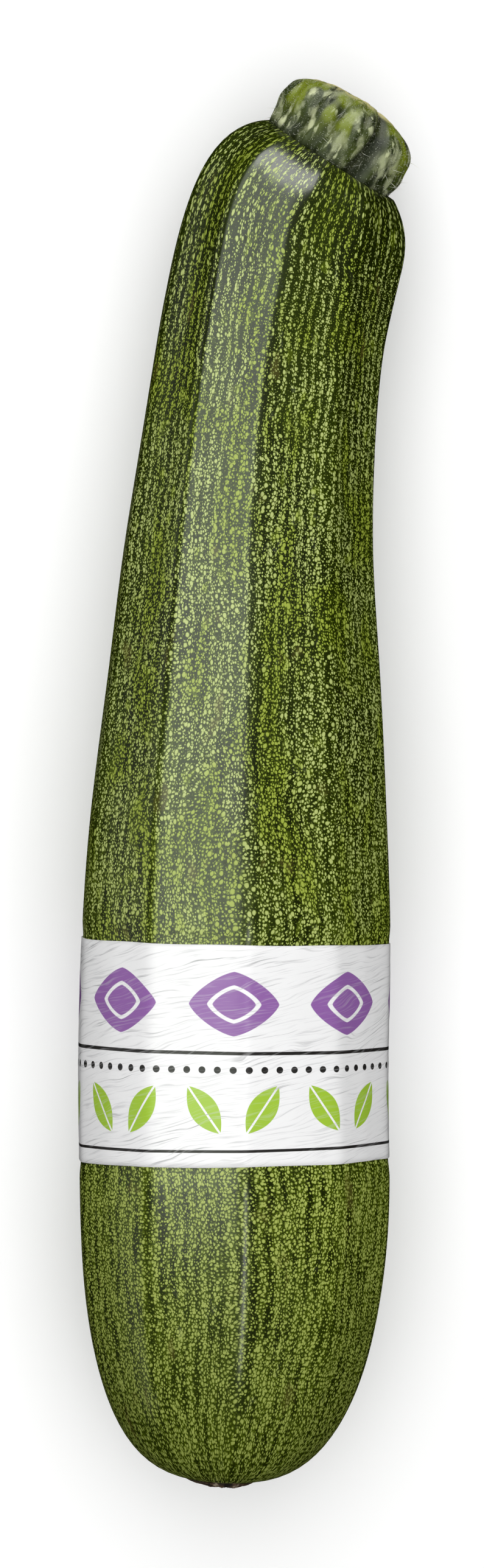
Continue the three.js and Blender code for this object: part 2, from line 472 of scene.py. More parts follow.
@dataclass
class MiddleLine:
    """The smooth line through the middle of the fruit: a centripetal Catmull-Rom curve through its points.

    Attributes:
        points: The points that it passes, from the blossom end to the stalk.
        origin: Where the part's origin lies in their coordinates.
        shoulder_turn: Over what distances the cross-sections turn from square to it to face as the stalk's foot.
        foot_heading: The heading of the stalk's foot, from +Y towards +X.
        foot_pitch: How far the foot faces up.
    """

    points: tuple[tuple[float, float, float], ...] = (
        (-3.1, -114.1, 26.3),
        (-1.35, -75.0, 25.8),
        (-1.4, -45.0, 25.4),
        (-0.85, -15.0, 25.3),
        (0.15, 15.0, 23.4),
        (1.15, 40.0, 21.0),
        (3.14, 62.0, 19.2),
        (5.48, 78.0, 18.5),
        (8.72, 91.7, 19.1),
        (14.45, 103.15, 21.0),
    )
    origin: Span = (0.413, 0.437)
    shoulder_turn: Span = (187.5, 220.0)
    foot_heading: float = math.radians(33)
    foot_pitch: float = math.radians(9.5)

    def __post_init__(self) -> None:
        """Measure the curve, so that it can be read by distance."""
        self._steps = np.linspace(0.0, len(self.points) - 1, 801)
        places = self._curve(self._steps)[0]
        self._lengths = np.concatenate([[0.0], np.cumsum(np.linalg.norm(np.diff(places, axis=0), axis=1))])

    @property
    def length(self) -> float:
        """Length from end to end."""
        return float(self._lengths[-1])

    def _curve(self, step: Array) -> tuple[Array, Array]:
        """Places and directions on the curve.

        A piece between two points is a cubic whose end slopes come from the points on either side, with the square
        roots of the distances between them as its knots.

        Args:
            step: 0 at the first point, 1 at the second, and so on.

        Returns:
            Places and unit directions, each shaped steps, 3.
        """
        inner = np.array(self.points)
        knots = np.concatenate([[2 * inner[0] - inner[1]], inner, [2 * inner[-1] - inner[-2]]])
        first = np.clip(step.astype(int), 0, len(inner) - 2)
        t = (step - first)[:, None]
        p0, p1, p2, p3 = (knots[first + k] for k in range(4))
        d0, d1, d2 = (np.sqrt(np.linalg.norm(b - a, axis=1, keepdims=True)) for a, b in ((p0, p1), (p1, p2), (p2, p3)))
        slope1 = ((p1 - p0) / d0 - (p2 - p0) / (d0 + d1) + (p2 - p1) / d1) * d1
        slope2 = ((p2 - p1) / d1 - (p3 - p1) / (d1 + d2) + (p3 - p2) / d2) * d1
        square, cube = 3 * (p2 - p1) - 2 * slope1 - slope2, 2 * (p1 - p2) + slope1 + slope2
        place = p1 + slope1 * t + square * t**2 + cube * t**3
        direction = slope1 + 2 * square * t + 3 * cube * t**2
        return place, unit(direction)

    def sections(self, distance: Array) -> Sections:
        """Cross-sections of the fruit, in the part's own frame.

        Args:
            distance: Along the line, from the blossom end.

        Returns:
            Sections square to the line, which turn at the shoulder to face as the stalk's foot does.
        """
        place, direction = self._curve(np.interp(distance, self._lengths, self._steps))
        turned = smoothstep(distance, *self.shoulder_turn)[:, None]
        direction = unit(direction * (1 - turned) + facing(self.foot_heading, self.foot_pitch) * turned)
        return Sections(place - np.array([*self.origin, 0.0]), direction)


@dataclass(frozen=True)
class Dome:
    """A rounded end.

    Attributes:
        length: How far it reaches along the fruit.
        overrun: How far it would go on past the place where it is cut off.
        fullness: How square its shoulder is.
        bluntness: How flat its tip is.
    """

    length: float
    overrun: float
    fullness: float
    bluntness: float

    def share(self, distance: Array) -> Array:
        """(1 − left^fullness)^(1/bluntness) of the full radius, where left is the share of the length still to go."""
        left = np.clip(1 - (distance + self.overrun) / self.length, 0, 1)
        return (1 - left**self.fullness) ** (1 / self.bluntness)


@dataclass
class Fruit:
    """The fruit: a ribbed belly that tapers to a neck, between a domed blossom end and a sloping shoulder.

    Attributes:
        taper: Between which distances the radius and the ribs pass from the belly's to the neck's.
        rib_depth: How deep the facets lie, as a share of the radius, at the belly and at the neck.
        ridge_rounding: How round the ridges are, in half facets.
        rib_fade: The distance from the blossom end at which the ribs have their full depth.
        shoulder_swell: The swelling inside the shoulder's bend: its height, its distance from the end, its spread.
        band_press: How far the band draws the skin in, within its span and a margin on either side.
        flat_height: How high the flat underside of the belly lies, up to where the flat ends.
        unevenness: The height of the slow bumps.
        speck_stretch: How much longer the specks are drawn at the blossom end and at the stalk.
    """

    line: MiddleLine
    belly_radius: float = 25.65
    neck_radius: float = 18.6
    taper: Span = (78.0, 194.0)
    ribs: int = 10
    first_rib: float = math.radians(3)
    rib_depth: Span = (0.03, 0.044)
    ridge_rounding: float = 0.13
    rib_fade: float = 22.0
    blossom_dome: Dome = Dome(51, 0.0, 2.15, 3)
    shoulder_dome: Dome = Dome(23.6, 2.7, 3.75, 2.35)
    shoulder_swell: tuple[float, float, float] = (1.13, 7.3, 12.1)
    band_press: float = 0.25
    band_span: Span = (53.0, 88.6)
    press_margin: float = 3.0
    flat_height: float = 0.35
    flat_end: Span = (100.0, 130.0)
    unevenness: float = 0.09
    speck_stretch: Span = (0.4, 0.35)
    columns: int = 300

    def mean_radius(self, distance: Array) -> Array:
        """Radius without ribs: belly to neck, times both domes, drawn in a little under the band.

        Args:
            distance: Along the fruit.

        Returns:
            The radius, of the same shape.
        """
        size = self.belly_radius + (self.neck_radius - self.belly_radius) * smoothstep(distance, *self.taper)
        size = size * self.blossom_dome.share(distance) * self.shoulder_dome.share(self.line.length - distance)
        (low, high), margin = self.band_span, self.press_margin
        pressed = smoothstep(distance, low - margin, low) - smoothstep(distance, high, high + margin)
        return size - self.band_press * pressed

    def ridge_share(self, distance: Array, angle: Array) -> Array:
        """How far a point is from the nearest ridge. The ridges wander by a degree or two along the fruit.

        Args:
            distance: Along the fruit.
            angle: Round it.

        Returns:
            0 on a ridge and 1 in the middle of a facet.
        """
        wander = 0.03 * np.sin(distance / 45 + 2 * angle) + 0.014 * np.sin(distance / 17 + 5 * angle + 1)
        turns = (angle - self.first_rib - wander) * self.ribs / (2 * np.pi)
        return 2 * np.abs(turns - np.round(turns))

    def radius(self, distance: Array, angle: Array) -> Array:
        """Radius with ribs, the swelling inside the shoulder's bend, and slow unevenness.

        A rib stands where a polygon's corner would: relief falls from the ridge as the side of a polygon lies
        inside its circle, so the facets between the ridges are nearly flat. Its mean is 2/3.

        Args:
            distance: Along the fruit.
            angle: Round it.

        Returns:
            The radius, of the two arrays' common shape.
        """
        to_ridge = np.hypot(self.ridge_share(distance, angle), self.ridge_rounding) - self.ridge_rounding
        to_ridge = to_ridge / (math.hypot(1, self.ridge_rounding) - self.ridge_rounding)
        relief = 1 - (1 - to_ridge) ** 2
        belly, neck = self.rib_depth
        depth = belly + (neck - belly) * smoothstep(distance, *self.taper)
        depth = depth * smoothstep(distance, 0, self.rib_fade) * (1 + 0.16 * np.sin(3 * angle + distance / 60 + 0.8))
        height, before_top, spread = self.shoulder_swell
        away = (self.line.length - distance - before_top) / spread
        swell = height * np.exp(-(away**2)) * np.maximum(0, np.sin(angle)) ** 2
        uneven = self.unevenness * np.sin(distance / 9 + 3 * angle) * np.sin(distance / 23 - 2 * angle + 0.5)
        fade = smoothstep(distance, 2, 20) * smoothstep(self.line.length - distance, 0, 12)
        return self.mean_radius(distance) * (1 + depth * (2 / 3 - relief)) + swell + uneven * fade

    def build(self) -> bpy.types.Object:
        """Make the fruit's mesh, with the coordinates that its skin is drawn in.

        along_mm is the distance from the blossom end, and drawn_mm is the same squeezed towards both ends, where
        the specks are drawn out. facet is 0 on a ridge and 1 between two. The rings start underneath, crowd towards
        both ends, and are pressed flat a little above the floor under the belly.

        Returns:
            The fruit.
        """
        length = self.line.length
        ends = np.array([0, 0.3, 0.7, 1.2, 1.9, 2.8, 3.9, 5.2, 6.7, 8.4])
        distance = np.concatenate([ends + 0.1, np.linspace(10, length - 10, 200), length - ends[::-1] - 0.01])
        angle = full_turn(self.columns, self.first_rib - np.pi)
        floor = self.flat_height * (1 - smoothstep(distance, *self.flat_end))[:, None]
        points = self.line.sections(distance).around(angle, self.radius(distance[:, None], angle))
        points[..., 2] = np.maximum(points[..., 2], floor)
        (blossom, stalk), left = self.speck_stretch, length - distance
        stretch = 1 + stalk * smoothstep(-left, -34, -6) + blossom * smoothstep(-distance, -26, -4)
        drawn = np.concatenate([[0.0], np.cumsum(np.diff(distance) / (0.5 * (stretch[1:] + stretch[:-1])))])
        facet = self.ridge_share(distance[:, None], angle)
        values = {"facet": facet, "along_mm": distance[:, None], "drawn_mm": drawn[:, None]}
        points = np.concatenate([self._pole(points[0]), points, self._pole(points[-1])])
        values = {label: np.concatenate([part[:1], part, part[-1:]]) for label, part in values.items()}
        return Grid(points, values).to_object("fruit_skin")

    @staticmethod
    def _pole(ring: Array) -> Array:
        """A row of one repeated point, in the middle of a ring."""
        return np.broadcast_to(ring.mean(axis=0), (1, *ring.shape))


@dataclass(frozen=True)
class SkinFinish:
    """Dark green skin, covered with strings of pale specks that crowd together towards the blossom end."""

    ground: Colour = linear(38, 49, 0)
    deep: Colour = linear(25, 33, 0)
    halo: Colour = linear(98, 116, 10)
    speck: Colour = linear(182, 194, 118)
    speck_warm: Colour = linear(157, 173, 62)
    speck_low: Colour = linear(168, 181, 88)
    blotch: Colour = linear(92, 84, 34)
    girth: float = 150.8
    string_pitch: float = 2.05
    large_cell: Span = (0.85, 1.2)
    small_cell: Span = (0.44, 0.56)
    dust_cell: Span = (0.24, 0.3)

    def material(self) -> bpy.types.Material:
        """Draw the skin: specks on a patchy green ground, sore spots, and a darker blossom end.

        Returns:
            The material.
        """
        book = NodeBook("courgette_skin", Roughness=0.3, IOR=1.45)
        along = book.attribute("along_mm")
        place = self._unrolled(book)
        flecks = self._flecks(place)
        specks, near = self._specks(place, along, flecks)

        patches = place.noise((13, 30))
        ground = patches.eased(0.35, 0.65).mix(self.deep, self.ground)
        ground = near.at_least(flecks * 0.4).mix(ground, self.halo)
        tint = place.noise((8, 18))
        pale = tint.eased(0.42, 0.62).at_least(flecks * 0.8).mix(self.speck, self.speck_warm)
        pale = along.eased(120, 40).mix(pale, self.speck_low)
        skin = specks.mix(ground, pale)
        sore = (place + (40.0, 7.0, 0.0)).noise((6, 11), 3.0, 0.6).eased(0.66, 0.78)
        skin = (sore * 0.45).mix(skin, self.blotch)
        skin = (along.eased(60, 0) * 0.3).mix(skin, self.deep)

        scuff = (place + (3.0, 71.0, 0.0)).noise((3.2, 5.0), 4.0, 0.65).eased(0.64, 0.76)
        low = (patches + place.noise((2.8, 7.0)) * 0.3).bump(0.12)
        grain = place.noise((0.4, 0.6))
        fine = (specks * 0.4 + grain * 0.3 + scuff * 0.4).bump(0.01, low)
        roughness = 0.26 + specks * 0.08 + scuff * 0.2
        return book.finished(Base_Color=skin, Roughness=roughness, Normal=fine)

    def _unrolled(self, book: NodeBook) -> Wire:
        """The skin laid out flat: millimetres round it, with a slow wander, and along it.

        The second is squeezed towards both ends, which draws the specks out there.

        Args:
            book: The material.

        Returns:
            The place.
        """
        around, drawn = book.around(self.girth), book.attribute("drawn_mm")
        flat = around.by(drawn)
        wander = (flat.noise((16.0, 18.0)) - 0.5) * 4.0 + (flat.noise((3.0, 5.0), 1.0) - 0.5) * 0.6
        return (around + wander).by(drawn)

    def _flecks(self, place: Wire) -> Wire:
        """Large ragged flecks, a millimetre or two wide, in the middle of the facets.

        Args:
            place: The unrolled place.

        Returns:
            1 inside a fleck.
        """
        cell = place.cells((4.4, 8.0))
        picked = cell.channel("Red").eased(0.35, 0.6)
        ragged = cell + (place.noise((0.9, 1.5)) - 0.5) * 0.5
        return ragged.eased(0.2, 0.08) * picked * place.book.attribute("facet").eased(0.12, 0.5)

    def _specks(self, place: Wire, along: Wire, flecks: Wire) -> tuple[Wire, Wire]:
        """Pale specks of three sizes, each the middle of a cell, with a dark net between them.

        A speck is as large as a random share of its cell. It grows in the strings that run along the fruit, towards
        the blossom end and inside a fleck, where the specks touch. Towards the blossom end they pave the skin, as
        large as their cells.

        Args:
            place: The unrolled place.
            along: Millimetres from the blossom end.
            flecks: Where the large flecks are.

        Returns:
            How pale the skin is, and how near a point is to a speck.
        """
        ragged = place + place.jolt((0.5, 0.7)) * 0.22
        strings = (place.x() * (2 * math.pi / self.string_pitch)).wave()
        uneven = place.noise((2.2, 9.0), 1.0) - 0.5
        crowd = along.eased(222, 150) * 0.12 + along.eased(110, 20) * 0.03 + uneven * 0.2
        crowd = crowd + strings * (along.eased(120, 200) * 0.1 + 0.08)
        crowd = crowd - place.book.attribute("facet").eased(0.22, 0.02) * 0.05

        large = (ragged + (11.0, 5.0, 0.0)).cells(self.large_cell, jitter=0.9)
        picked = large.channel("Blue").eased(0.35, 0.95)
        large_room = picked * 0.34 + crowd * 0.3 + flecks * 0.06 - along.eased(90, 20) * 0.06 - large

        small = ragged.cells(self.small_cell, jitter=0.9)
        share = small.channel("Green") * 0.28 + 0.09
        small_room = (share + crowd + flecks * 0.1 - small) - large_room.eased(-0.14, -0.02)

        dust = (ragged + (3.0, 2.0, 0.0)).cells(self.dust_cell)
        dust_room = dust.channel("Red") * 0.5 - 0.16 + crowd - dust
        specks = small_room.eased(0.0, 0.2).at_least(large_room.eased(0.0, 0.13))
        near = small_room.eased(-0.09, 0.09).at_least(large_room.eased(-0.05, 0.05))
        near = near.at_least(dust_room.eased(-0.04, 0.2) * 0.6)

        paved = along.eased(150, 50) * (uneven * 2.2 + strings * 0.35 + 0.6).eased(0.0, 1.0)
        net = ragged.cells(self.small_cell, True, 0.9)
        shade = small.channel("Red")
        near = near.at_least(net.eased(0.03, 0.16) * paved * (shade * 0.6 + 0.4))
        specks = specks.at_least(net.eased(0.08, 0.3) * paved * (shade.eased(0.4, 1.0) * 0.6).at_least(flecks))
        return specks, near


# Stalk


@dataclass(frozen=True)
class Groove:
    """A groove between two lobes of the stalk, which turns a little on its way from the foot to the cut.

    Attributes:
        foot: Its angle at the foot, in degrees.
        cut: Its angle at the cut, in degrees.
        depth: Its depth in millimetres.
        width: Its half-width in degrees.
    """

    foot: float
    cut: float
    depth: float
    width: float


@dataclass
class Stalk:
    """The cut stalk: six lobes that flare to the foot, with a rounded rim and a cut face.

    Attributes:
        sidestep: How far the cut stands to the right of the foot.
        clearance: The gap between the foot and the fruit in the solids.
        corner_drop: How far the cut's left and right corners fall back.
        sink: How far the foot reaches into the shoulder here, which makes the join uneven.
    """

    line: MiddleLine
    length: float = 10.8
    foot_radius: float = 11.9
    cut_radius: float = 8.4
    sidestep: float = -1.2
    cut_heading: float = math.radians(30)
    cut_pitch: float = math.radians(7)
    clearance: float = 0.3
    corner_drop: Span = (1.0, 1.5)
    sink: float = 1.9
    grooves: tuple[Groove, ...] = (
        Groove(-116, -108, 1.5, 10),
        Groove(-36, -26, 0.75, 7),
        Groove(-15, -2, 0.8, 5),
        Groove(26, 38, 2.3, 7.5),
        Groove(100, 108, 1.5, 10),
        Groove(170, 178, 1.3, 10),
    )
    columns: int = 264

    def hollow(self, share: Array, angle: Array) -> Array:
        """How deep the grooves are, deepest near the foot.

        Args:
            share: 0 at the foot and 1 at the cut.
            angle: Round the stalk.

        Returns:
            The sum over the grooves of depth·(exp(−(angle away/width)²) + a low wide bell of the same kind).
        """
        total = np.zeros(np.broadcast_shapes(share.shape, angle.shape))
        for groove in self.grooves:
            middle = np.radians(groove.foot + (groove.cut - groove.foot) * share)
            away = np.abs((angle - middle + np.pi) % (2 * np.pi) - np.pi)
            profile = np.exp(-((away / math.radians(groove.width)) ** 2)) + 0.25 * np.exp(-((away / 0.3) ** 2))
            total = total + groove.depth * profile * (1 - 0.25 * share)
        return total

    def side_radius(self, share: Array, angle: Array) -> Array:
        """Radius of the side: foot to cut with a rounded rim, less the grooves, with fine ridges along it.

        Args:
            share: 0 at the foot and 1 at the cut.
            angle: Round the stalk.

        Returns:
            The radius, of the two arrays' common shape.
        """
        smooth = self.foot_radius + (self.cut_radius - self.foot_radius) * share**5
        swell = 0.45 * np.sin(np.pi * share) + 0.35 * np.exp(-((share / 0.12) ** 2)) * np.sin(2.5 * angle)
        ridges = 0.07 * np.sin(31 * angle + 3 * share) + 0.05 * np.sin(47 * angle - 5 * share + 1)
        dents = 0.16 * np.sin(7 * share + 4 * angle) * np.sin(5 * angle - 9 * share + 2)
        return smooth + swell + ridges + dents - self.hollow(share, angle)

    def sections(self, share: Array) -> Sections:
        """Cross-sections of the stalk.

        Args:
            share: 0 at the foot and 1 at the cut.

        Returns:
            Sections whose heading and pitch turn steadily from the foot's to the cut's.
        """
        foot = self.line.sections(np.array([self.line.length]))
        along = foot.along[0]
        heading = np.arctan2(along[0], along[1]) * (1 - share) + self.cut_heading * share
        pitch = np.arcsin(along[2]) * (1 - share) + self.cut_pitch * share
        ahead = self.clearance + share * (self.length - self.clearance)
        centre = foot.centre + ahead[:, None] * along + (self.sidestep * share**2)[:, None] * foot.right
        return Sections(centre, facing(heading, pitch))

    def drop(self, share: Array, angle: Array) -> Array:
        """How far the cut's left and right corners fall back: drop·share⁴·|sin angle|³, in millimetres."""
        corner = np.where(np.sin(angle) < 0, *self.corner_drop)
        return corner * share**4 * np.abs(np.sin(angle)) ** 3

    def side_points(self, share: Array, angle: Array) -> Array:
        """Points on the side, shaped shares, columns, 3."""
        radius = self.side_radius(share[:, None], angle)
        return self.sections(share).around(angle, radius, -self.drop(share[:, None], angle))

    def build(self) -> bpy.types.Object:
        """Make the stalk's mesh: a foot disc, the side, a rolled rim and the cut face, dished and a little fibrous.

        stalk_mm is a point of the straightened stalk, cut is 1 on the cut face, and hollow is the grooves' depth.

        Returns:
            The stalk.
        """
        below = -self.sink / self.length
        foot = np.array([0.0, 0.5, 0.85, 0.97])
        side = np.concatenate([np.linspace(below, 0.9, 60), np.linspace(0.915, 1, 12)])
        inward = np.array([0.985, 0.95, 0.9, 0.82, 0.72, 0.6, 0.45, 0.3, 0.15, 0.05, 0.0])
        share = np.concatenate([np.full(len(foot), below), side, np.ones(len(inward))])
        scale = np.concatenate([foot, np.ones(len(side)), inward])[:, None]
        face = np.repeat([0.0, 1.0], [len(foot) + len(side), len(inward)])[:, None]
        angle = full_turn(self.columns)
        radius = self.side_radius(share[:, None], angle) * scale
        fibres = np.sin(9 * angle) * 0.08 + np.sin(23 * angle + 9 * scale) * 0.05
        dish = 0.12 * np.sin((1 - scale) * 9) - 0.5 * (1 - scale) * scale
        ahead = face * (dish + fibres * scale) - self.drop(share[:, None], angle) * scale**2
        points = self.sections(share).around(angle, radius, ahead)
        upward = np.broadcast_to(share[:, None] * self.length, radius.shape)
        values = {
            "stalk_mm": np.stack([radius * np.sin(angle), radius * np.cos(angle), upward], axis=-1),
            "cut": face,
            "hollow": self.hollow(share[:, None], angle),
            "share": share[:, None],
        }
        return Grid(points, values).to_object("stalk_lobes")


@dataclass(frozen=True)
class StalkFinish:
    """Olive green, mottled with soft pale blots, frosted with fine bristles, and cream where it is cut."""

    ground: Colour = linear(58, 70, 18)
    shade: Colour = linear(22, 30, 4)
    bright: Colour = linear(116, 130, 0)
    pale: Colour = linear(200, 207, 160)
    frost: Colour = linear(205, 212, 186)
    pith: Colour = linear(226, 216, 158)
    fibre: Colour = linear(200, 192, 132)
    stain: Colour = linear(140, 104, 58)

    def material(self) -> bpy.types.Material:
        """Draw the side, layer over layer up to the hairs' frost and the torn rim, and then the cut face.

        Returns:
            The material.
        """
        book = NodeBook("courgette_stalk", IOR=1.45, Specular_IOR_Level=0.32)
        place = book.attribute("stalk_mm", True)
        share = book.attribute("share")
        hollow = book.attribute("hollow")
        cut = book.attribute("cut")

        broad = place.noise((3.4, 3.4, 6.5))
        ground = broad.eased(0.35, 0.55).mix(self.shade, self.ground)
        glow = (place + (31.0, 4.0, 9.0)).noise((4.2, 4.2, 6.0), 1.0).eased(0.48, 0.62) * share.eased(0.15, 0.6)
        ground = glow.mix(ground, self.bright)
        warped = place + place.jolt((1.2, 1.2, 2.0)) * 1.6 + place.jolt((0.4, 0.4, 0.7)) * 0.4
        blot = warped.cells((2.3, 2.3, 3.6))
        blots = blot.eased(0.46, 0.2) * blot.channel("Red").eased(0.3, 0.75)
        streak = (warped + (5.0, 9.0, 2.0)).cells((0.7, 0.7, 3.4))
        streaks = streak.eased(0.5, 0.1) * streak.channel("Green").eased(0.4, 0.9)
        fog = warped.noise((2.6, 2.6, 4.5)).eased(0.5, 0.68)
        waxy = blots.at_least(streaks * 0.8).at_least(fog * 0.55) * (1 - glow * 0.5)
        side = waxy.mix(ground, self.pale)
        # Painted shade: the grooves and the edge at the foot are darkened towards the shade colour.
        shaded = hollow.eased(0.3, 1.5).at_least(share.eased(0.12, -0.02) * 0.8)
        side = (shaded * 0.9).mix(side, self.shade)
        frost = place.cells((0.26, 0.26, 0.34))
        specks = frost.eased(0.36, 0.16) * frost.channel("Blue").eased(0.6, 0.95)
        side = (specks * 0.6).mix(side, self.frost)
        rim = share.eased(0.93, 0.99) * place.noise((0.9,) * 3).eased(0.36, 0.5)
        side = (rim * 0.85).mix(side, self.fibre)

        speckle = (place * (1.0, 1.0, 0.0)).cells((0.55, 0.55, 1.0))
        face = speckle.eased(0.2, 0.5).mix(self.fibre, self.pith)
        stained = place.noise((2.2,) * 3, 3.0, 0.6).eased(0.56, 0.7)
        face = (stained * 0.75).mix(face, self.stain)
        colour = cut.mix(side, face)

        rough = place.noise((0.3,) * 3) * 0.5 + streaks * 0.3 + blots * 0.3 + specks * 0.6
        normal = rough.bump(0.09, broad.bump(0.3))
        return book.finished(Base_Color=colour, Roughness=0.48 + cut * 0.3 - specks * 0.1, Normal=normal)


@dataclass
class Bristles:
    """Stiff pale hairs on the stalk: thin three-sided cones, each leaning and curling its own way."""

    stalk: Stalk
    name: str
    count: int
    length: tuple[float, float]
    thickness: float
    joints: int
    curl: float
    seed: int
    reach: Span = (0.0, 0.97)
    rooted: float = 0.05
    unruliness: float = 0.45
    thinning: float = 0.8

    def build(self) -> bpy.types.Object:
        """Make all the hairs as one mesh.

        A hair's middle line is root + length·(t·lean + curl·t²·bend), with t from 0 at the root to 1 at the tip, and
        its radius is half the thickness times 1 − thinning·t.

        Returns:
            The hairs, with a value, tip, that is t.
        """
        rng = np.random.default_rng(self.seed)
        share = rng.uniform(*self.reach, self.count)
        angle = rng.uniform(0, 2 * np.pi, (self.count, 1))
        nudge = 0.004
        root = self.stalk.side_points(share, angle)[:, 0]
        upward = self.stalk.side_points(share + nudge, angle)[:, 0] - root
        sideways = self.stalk.side_points(share, angle + nudge)[:, 0] - root
        normal = unit(np.cross(sideways, upward))
        lean = unit(normal + rng.normal(0, self.unruliness, (self.count, 3)))
        bend = unit(np.cross(lean, rng.normal(0, 1, (self.count, 3))))
        length = rng.uniform(*self.length, self.count)[:, None, None]
        t = np.linspace(0, 1, self.joints)[None, :, None]
        start = (root - self.rooted * normal)[:, None]
        middle = start + length * (t * lean[:, None] + self.curl * t**2 * bend[:, None])
        third = np.cross(lean, bend)
        turn = full_turn(3)[None, :, None]
        circle = np.cos(turn) * bend[:, None] + np.sin(turn) * third[:, None]
        radius = self.thickness / 2 * (1 - self.thinning * t)
        points = middle[:, :, None] + radius[..., None] * circle[:, None]
        return self._mesh(points, t[0, :, 0])

    def _mesh(self, points: Array, t: Array) -> bpy.types.Object:
        """Join the rings of every hair, and close its two ends.

        Args:
            points: Shaped hairs, joints, 3 sides, 3.
            t: Each joint's share of the length.

        Returns:
            The mesh object.
        """
        hairs, joints = points.shape[:2]
        index = np.arange(hairs * joints * 3).reshape(hairs, joints, 3)
        here, ahead = index[:, :-1], index[:, 1:]
        quads = np.stack([here, np.roll(here, -1, 2), np.roll(ahead, -1, 2), ahead], axis=-1).reshape(-1, 4)
        caps = np.concatenate([index[:, 0, ::-1], index[:, -1]])
        mesh = bpy.data.meshes.new(self.name)
        mesh.from_pydata((points.reshape(-1, 3) * MM).tolist(), [], quads.tolist() + caps.tolist())
        tips = np.broadcast_to(t[None, :, None], (hairs, joints, 3))
        mesh.attributes.new("tip", "FLOAT", "POINT").data.foreach_set("value", tips.ravel())
        mesh.shade_smooth()
        return put_in_scene(self.name, mesh)


@dataclass(frozen=True)
class BristleFinish:
    """Pale glassy hairs, greener at the root."""

    root: Colour = linear(150, 160, 110)
    tip: Colour = linear(236, 238, 222)

    def material(self) -> bpy.types.Material:
        """Colour the hairs along their length."""
        book = NodeBook("courgette_bristle", Roughness=0.35, IOR=1.45)
        return book.finished(Base_Color=book.attribute("tip").eased(0.0, 0.5).mix(self.root, self.tip))


# Crust on the blossom end


@dataclass
class BlossomScar:
    """The torn, wrinkled crust where the flower broke off."""

    line: MiddleLine
    radius: float = 5.4
    thickness: float = 0.75
    clearance: float = 0.3
    curl: float = 0.7
    columns: int = 216

    def build(self) -> bpy.types.Object:
        """Make the crust's mesh, from the middle of its face round its ragged edge to the middle of its back.

        The edge is a circle plus three waves of 3, 7 and 17 to the turn; the face rises to the middle and is folded
        by waves that fan out from it. Towards the edge it curls against the fruit.

        Returns:
            The crust, with a value, fold, of its relief.
        """
        section = self.line.sections(np.array([0.0]))
        angle = full_turn(self.columns)
        share = np.array([0, 0.06, 0.12, 0.2, 0.28, 0.37, 0.46, 0.55, 0.64, 0.73, 0.81, 0.88, 0.94, 0.98, 1.0])
        back = np.array([0.97, 0.7, 0.35, 0.0])
        ragged = 0.42 * (np.sin(3 * angle + 0.6) + 0.6 * np.sin(7 * angle)) + 0.14 * np.sin(17 * angle + 2)
        edge = self.radius + ragged + 0.07 * np.sin(41 * angle)
        rho = share[:, None]
        folds = np.sin(9 * angle + 1 + 3 * rho) + 0.5 * np.sin(19 * angle - 6 * rho)
        folds = folds + 0.35 * np.sin(37 * angle + 9 * rho)
        ripples = np.sin(22 * rho + 2 * np.sin(5 * angle))
        relief = 0.16 * folds * rho * (1 - 0.5 * rho**6) + 0.07 * ripples * (1 - rho)
        front = -self.clearance - self.thickness * (1 - 0.6 * rho**2) - relief * (1 - rho**12)
        ahead = np.concatenate([front, np.full((len(back), self.columns), -self.clearance)])
        reach = np.concatenate([rho, back[:, None]])
        ahead = ahead + (self.curl + 0.25 * np.sin(5 * angle + 1)) * reach**3
        fold = np.concatenate([relief, np.zeros((len(back), self.columns))])
        return Grid(section.around(angle, reach * edge, ahead), {"fold": fold}).to_object("blossom_crust")


@dataclass(frozen=True)
class CrustFinish:
    """Dry brown tissue, with painted shade that darkens its folds and a painted dull grey sheen on top of them."""

    dark: Colour = linear(30, 20, 12)
    brown: Colour = linear(84, 60, 36)
    sheen_grey: Colour = linear(168, 156, 132)

    def material(self) -> bpy.types.Material:
        """Colour the crust by its folds and two sizes of noise, with painted shade in the folds and a painted sheen on
        their tops.

        Returns:
            The material.
        """
        book = NodeBook("courgette_crust", Roughness=0.8, IOR=1.45)
        place = book.place()
        fold = book.attribute("fold")
        grain = place.noise((0.5, 1.2, 0.5), 4.0, 0.65)
        # Painted shade: darker where the folds sink, mixed with a little random tone from the grain noise.
        colour = (fold * 2.2 + grain).eased(0.3, 0.75).mix(self.dark, self.brown)
        # Painted sheen: pale grey on the tops of the folds.
        painted_sheen = (fold * 2.5 + place.noise((1.3,) * 3, 3.0)).eased(0.68, 0.95)
        colour = (painted_sheen * 0.7).mix(colour, self.sheen_grey)
        return book.finished(Base_Color=colour, Roughness=0.65 + grain * 0.3, Normal=grain.bump(0.25))


# Film band


